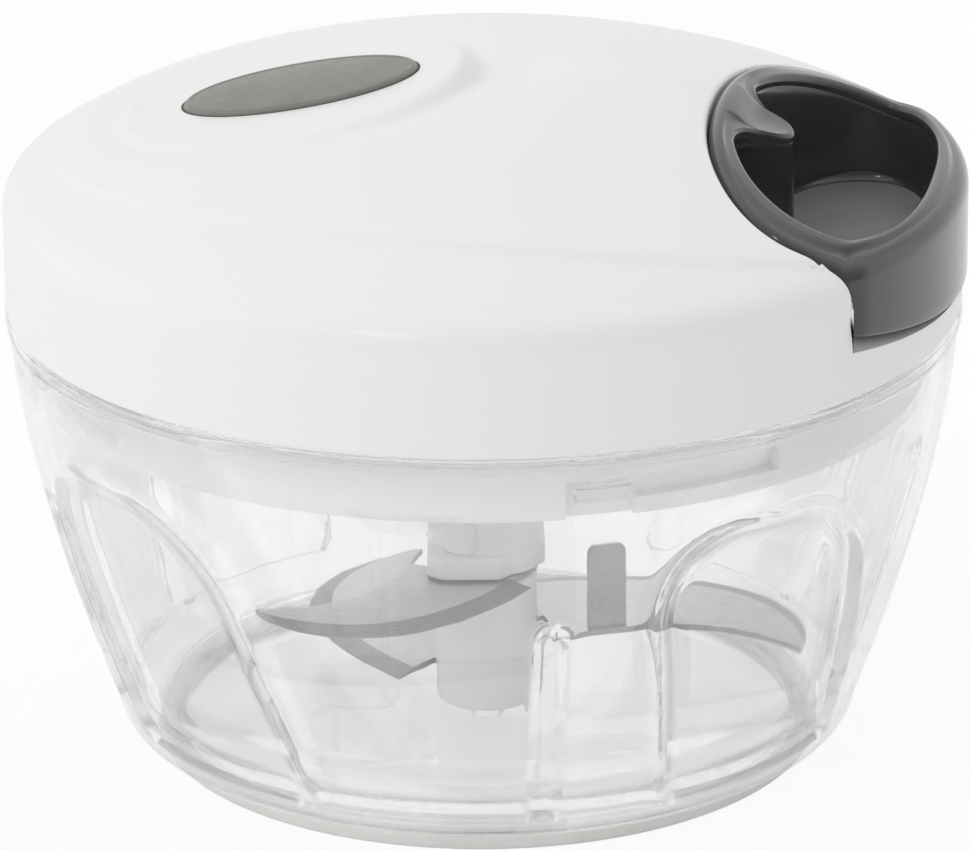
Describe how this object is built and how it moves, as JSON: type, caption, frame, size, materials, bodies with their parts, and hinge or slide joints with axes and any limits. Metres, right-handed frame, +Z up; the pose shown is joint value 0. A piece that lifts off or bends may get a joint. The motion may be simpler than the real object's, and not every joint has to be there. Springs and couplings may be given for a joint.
{
  "type": "onion cutter",
  "caption": "Hand pulled onion cutter: clear bowl, blade column and domed lid with a sprung cord reel and a shield shaped pull handle.",
  "frame": {"origin": "centre of the base, on the surface that the bowl stands on", "axes": "+Z up along the bowl's and the blades' axis, +X from the axis to the pull handle, +Y to the left of the handle seen from above"},
  "size_m": [0.1256, 0.125, 0.092],
  "materials": {
    "clear_bowl": "clear moulded plastic, glossy",
    "foot_rubber": "soft translucent silicone",
    "pin_steel": "turned steel",
    "seal_rubber": "soft silicone",
    "white_plastic": "moulded, satin gloss",
    "cover_plastic": "moulded, satin",
    "grey_plastic": "polished",
    "badge_grey": "satin",
    "screw_steel": "zinc plated",
    "mechanism_plastic": "moulded acetal",
    "spring_steel": "blued strip",
    "cord_fibre": "braided polyester",
    "blade_steel": "ground stainless"
  },
  "bodies": {
    "bowl": {"bowl": "clear_bowl", "non_slip_ring": "foot_rubber", "pivot_pin": "pin_steel"},
    "seal": {"lid_seal": "seal_rubber"},
    "lid": {"lid_cover": "white_plastic", "inner_cover": "cover_plastic", "badge": "badge_grey", "lid_screw_1": "screw_steel", "lid_screw_2": "screw_steel", "lid_screw_3": "screw_steel", "lid_screw_4": "screw_steel", "reel_axle": "pin_steel", "cord_guide": "screw_steel", "cord_lead": "cord_fibre"},
    "handle": {"pull_handle": "grey_plastic", "cord_knot": "cord_fibre", "pull_cord": "cord_fibre"},
    "reel": {"cord_reel": "mechanism_plastic", "cord_winding": "cord_fibre", "recoil_spring": "spring_steel", "spring_cover": "mechanism_plastic", "clutch_pawl_1": "mechanism_plastic", "clutch_pawl_2": "mechanism_plastic"},
    "drive": {"drive_hub": "mechanism_plastic"},
    "blades": {"blade_spindle": "cover_plastic", "blade_collar": "cover_plastic", "upper_blade": "blade_steel", "middle_blade": "blade_steel", "lower_blade": "blade_steel"}
  },
  "joints": [
    {"name": "lid_lift", "type": "slide", "parent": "bowl", "child": "seal", "axis": [0, 0, 1], "range_m": [0, 0.11]},
    {"name": "lid_turn", "type": "hinge", "parent": "seal", "child": "lid", "pos_m": [0, 0, 0.06], "axis": [0, 0, -1], "range_deg": [0, 20]},
    {"name": "handle_pull", "type": "slide", "parent": "lid", "child": "handle", "axis": [1, 0, 0], "range_m": [0, 0.3], "stiffness_N_per_m": 12, "springref_m": -0.05},
    {"name": "reel_spin", "type": "hinge", "parent": "lid", "child": "reel", "pos_m": [0, 0, 0.07], "axis": [0, 0, 1], "range_deg": [-1, 800]},
    {"name": "drive_spin", "type": "hinge", "parent": "lid", "child": "drive", "pos_m": [0, 0, 0.06], "axis": [0, 0, 1], "range_deg": [-1, 800]},
    {"name": "blade_spin", "type": "hinge", "parent": "bowl", "child": "blades", "pos_m": [0, 0, 0.01], "axis": [0, 0, 1], "range_deg": [-1, 800]}
  ],
  "couplings": [
    {"joint": "reel_spin", "follows": "handle_pull", "rad_per_m": 46.296},
    {"joint": "drive_spin", "follows": "handle_pull", "rad_per_m": 46.296},
    {"joint": "blade_spin", "follows": "handle_pull", "rad_per_m": 46.296}
  ]
}
